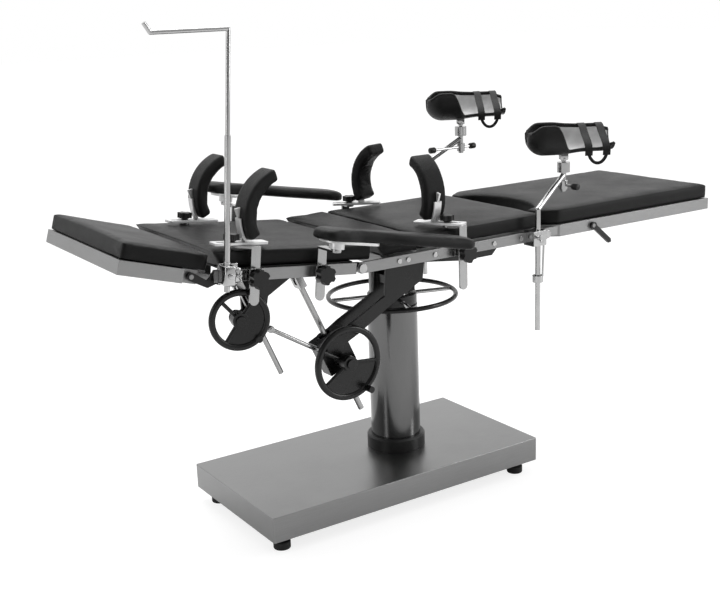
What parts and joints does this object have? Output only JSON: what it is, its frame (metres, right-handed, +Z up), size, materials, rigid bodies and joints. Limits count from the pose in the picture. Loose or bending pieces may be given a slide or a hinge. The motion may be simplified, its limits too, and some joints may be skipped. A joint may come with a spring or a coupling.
{
  "type": "operating table",
  "caption": "Column-mounted operating table with hinged padded sections, kidney bridge, crank wheels, side rails, body supports, arm boards, leg troughs and drip pole.",
  "frame": {"origin": "floor level under the centre of the whole outline at rest", "axes": "+X towards the foot section, +Y away from the side with the crank wheels, +Z up"},
  "size_m": [2.033, 0.798, 1.4117],
  "materials": {
    "stainless": "brushed, satin",
    "chrome": "polished",
    "plate": "satin grey",
    "cast": "cast, pale silver",
    "dark_iron": "black enamel",
    "dark_steel": "black satin paint",
    "chassis": "primed",
    "pad": "satin coated",
    "knob": "matt",
    "rubber": "matt",
    "bronze": "machined",
    "strap": "woven",
    "trough": "satin shell"
  },
  "bodies": {
    "base": {"base_cover": "stainless", "base_chassis": "chassis", "levelling_feet": "rubber", "column_collar": "dark_steel", "column_tube": "stainless", "column_bush": "bronze"},
    "lift_wheel": {"lift_wheel": "chrome"},
    "ram": {"ram_tube": "chrome", "fork_head": "dark_iron"},
    "tilt_cross": {"tilt_cross": "chrome"},
    "seat": {"main_beam": "dark_iron", "seat_frame": "plate", "seat_rails": "stainless", "rail_bolts": "chrome", "seat_pad": "pad", "drive_arm": "dark_steel", "seat_bars": "stainless", "seat_knobs": "knob", "leg_holder_clamps": "chrome"},
    "kidney": {"kidney_bridge": "plate", "kidney_pad": "pad"},
    "back": {"back_frame": "dark_steel", "back_rails": "stainless", "back_pad": "pad", "back_bars": "stainless", "back_knobs": "knob", "iv_clamp": "chrome"},
    "head": {"head_tray": "plate", "head_pad": "pad"},
    "leg": {"leg_tray": "plate", "leg_pad": "pad"},
    "leg_lever": {"leg_lock_lever": "dark_steel"},
    "gearbox_a": {"gearbox_a": "dark_iron"},
    "wheel_a": {"wheel_a": "dark_iron"},
    "rod_a": {"rod_a": "chrome"},
    "gearbox_b": {"gearbox_b": "dark_iron"},
    "wheel_b": {"wheel_b": "dark_iron"},
    "rod_b": {"rod_b": "chrome"},
    "iv_tube": {"iv_tube": "chrome"},
    "iv_rod": {"iv_rod": "chrome"},
    "shoulder_near": {"shoulder_near_bracket": "cast", "shoulder_near_pad": "pad"},
    "shoulder_far": {"shoulder_far_bracket": "cast", "shoulder_far_pad": "pad"},
    "waist_near": {"waist_near_bracket": "cast", "waist_near_pad": "pad"},
    "waist_far": {"waist_far_bracket": "cast", "waist_far_pad": "pad"},
    "arm_near": {"arm_tray_near": "cast", "arm_board_near": "pad"},
    "leg_rod_near": {"leg_rod_near": "chrome"},
    "leg_post_near": {"leg_post_near": "chrome"},
    "leg_trough_near": {"leg_trough_near": "trough", "trough_straps_near": "strap"},
    "arm_far": {"arm_tray_far": "cast", "arm_board_far": "pad"},
    "leg_rod_far": {"leg_rod_far": "chrome"},
    "leg_post_far": {"leg_post_far": "chrome"},
    "leg_trough_far": {"leg_trough_far": "trough", "trough_straps_far": "strap"}
  },
  "joints": [
    {"name": "lift", "type": "slide", "parent": "base", "child": "ram", "axis": [0, 0, 1], "range_m": [0, 0.25]},
    {"name": "lift_wheel_turn", "type": "hinge", "parent": "base", "child": "lift_wheel", "pos_m": [-0.089, 0, 0.588], "axis": [0, 0, 1], "continuous": true},
    {"name": "deck_tilt", "type": "hinge", "parent": "ram", "child": "tilt_cross", "pos_m": [-0.089, 0, 0.665], "axis": [0, 1, 0], "range_deg": [-18, 18]},
    {"name": "deck_roll", "type": "hinge", "parent": "tilt_cross", "child": "seat", "pos_m": [-0.089, 0, 0.665], "axis": [1, 0, 0], "range_deg": [-15, 15]},
    {"name": "kidney_lift", "type": "slide", "parent": "seat", "child": "kidney", "axis": [0, 0, -1], "range_m": [-0.085, 0]},
    {"name": "back_raise", "type": "hinge", "parent": "seat", "child": "back", "pos_m": [-0.359, 0, 0.757], "axis": [0, 1, 0], "range_deg": [-21.2, 63.8]},
    {"name": "head_raise", "type": "hinge", "parent": "back", "child": "head", "pos_m": [-0.84116, 0, 0.80938], "axis": [0, 1, 0], "range_deg": [-10, 20]},
    {"name": "leg_drop", "type": "hinge", "parent": "seat", "child": "leg", "pos_m": [0.289, 0, 0.757], "axis": [0, 1, 0], "range_deg": [0, 85]},
    {"name": "leg_lock", "type": "hinge", "parent": "leg", "child": "leg_lever", "pos_m": [0.483, -0.255, 0.755], "axis": [0, -1, 0], "range_deg": [0, 50]},
    {"name": "gearbox_a_swing", "type": "hinge", "parent": "seat", "child": "gearbox_a", "pos_m": [-0.426, -0.185, 0.545], "axis": [0, 1, 0], "range_deg": [-8, 22]},
    {"name": "wheel_a_turn", "type": "hinge", "parent": "gearbox_a", "child": "wheel_a", "pos_m": [-0.40601, -0.246, 0.50136], "axis": [0, -1, 0], "continuous": true},
    {"name": "rod_a_swing", "type": "hinge", "parent": "back", "child": "rod_a", "pos_m": [-0.51901, -0.185, 0.74803], "axis": [0, 1, 0], "range_deg": [-43, 15]},
    {"name": "gearbox_b_swing", "type": "hinge", "parent": "back", "child": "gearbox_b", "pos_m": [-0.64878, -0.185, 0.65993], "axis": [0, 1, 0], "range_deg": [-25, 13]},
    {"name": "wheel_b_turn", "type": "hinge", "parent": "gearbox_b", "child": "wheel_b", "pos_m": [-0.715, -0.236, 0.676], "axis": [-0.2079, -0.9781, 0], "continuous": true},
    {"name": "rod_b_swing", "type": "hinge", "parent": "head", "child": "rod_b", "pos_m": [-0.69096, -0.185, 0.75798], "axis": [0, 1, 0], "range_deg": [-45, 23]},
    {"name": "iv_turn", "type": "hinge", "parent": "back", "child": "iv_tube", "pos_m": [-0.76194, -0.283, 0.83595], "axis": [0.0776, 0, 0.997], "range_deg": [-170, 170]},
    {"name": "iv_height", "type": "slide", "parent": "iv_tube", "child": "iv_rod", "axis": [0.0776, 0, 0.997], "range_m": [-0.1, 0.12]},
    {"name": "shoulder_near_slide", "type": "slide", "parent": "back", "child": "shoulder_near", "axis": [0.9942, 0, -0.108], "range_m": [0, 0.035]},
    {"name": "shoulder_far_slide", "type": "slide", "parent": "back", "child": "shoulder_far", "axis": [0.9942, 0, -0.108], "range_m": [0, 0.035]},
    {"name": "waist_near_slide", "type": "slide", "parent": "seat", "child": "waist_near", "axis": [-0.5, 0.866, 0], "range_m": [0, 0.035]},
    {"name": "waist_far_slide", "type": "slide", "parent": "seat", "child": "waist_far", "axis": [0.8387, -0.5446, 0], "range_m": [0, 0.035]},
    {"name": "arm_near_swing", "type": "hinge", "parent": "back", "child": "arm_near", "pos_m": [-0.48023, -0.33, 0.83555], "axis": [-0.1942, 0, -0.981], "range_deg": [0, 90]},
    {"name": "arm_far_swing", "type": "hinge", "parent": "back", "child": "arm_far", "pos_m": [-0.45447, 0.33, 0.86896], "axis": [0.1771, 0, 0.9842], "range_deg": [0, 90]},
    {"name": "leg_rod_near_height", "type": "slide", "parent": "seat", "child": "leg_rod_near", "axis": [0, 0, 1], "range_m": [-0.015, 0.12]},
    {"name": "leg_post_near_turn", "type": "hinge", "parent": "leg_rod_near", "child": "leg_post_near", "pos_m": [0.37, -0.243, 0.959], "axis": [0, 0, 1], "range_deg": [-60, 60]},
    {"name": "leg_trough_near_tip", "type": "hinge", "parent": "leg_post_near", "child": "leg_trough_near", "pos_m": [0.37, -0.243, 0.968], "axis": [0.5, 0.866, 0], "range_deg": [-25, 25]},
    {"name": "leg_rod_far_height", "type": "slide", "parent": "seat", "child": "leg_rod_far", "axis": [0, 0, 1], "range_m": [-0.085, 0.05]},
    {"name": "leg_post_far_turn", "type": "hinge", "parent": "leg_rod_far", "child": "leg_post_far", "pos_m": [0.37, 0.243, 1.029], "axis": [0, 0, 1], "range_deg": [-60, 60]},
    {"name": "leg_trough_far_tip", "type": "hinge", "parent": "leg_post_far", "child": "leg_trough_far", "pos_m": [0.37, 0.243, 1.038], "axis": [0.5, 0.866, 0], "range_deg": [-25, 25]}
  ],
  "couplings": [
    {"joint": "lift_wheel_turn", "follows": "lift", "rad_per_m": 314.16},
    {"joint": "gearbox_a_swing", "follows": "back_raise", "ratio": 0.335},
    {"joint": "rod_a_swing", "follows": "back_raise", "ratio": -0.665},
    {"joint": "wheel_a_turn", "follows": "back_raise", "ratio": 30},
    {"joint": "gearbox_b_swing", "follows": "head_raise", "ratio": -1.195},
    {"joint": "rod_b_swing", "follows": "head_raise", "ratio": -2.195},
    {"joint": "wheel_b_turn", "follows": "head_raise", "ratio": 30}
  ]
}
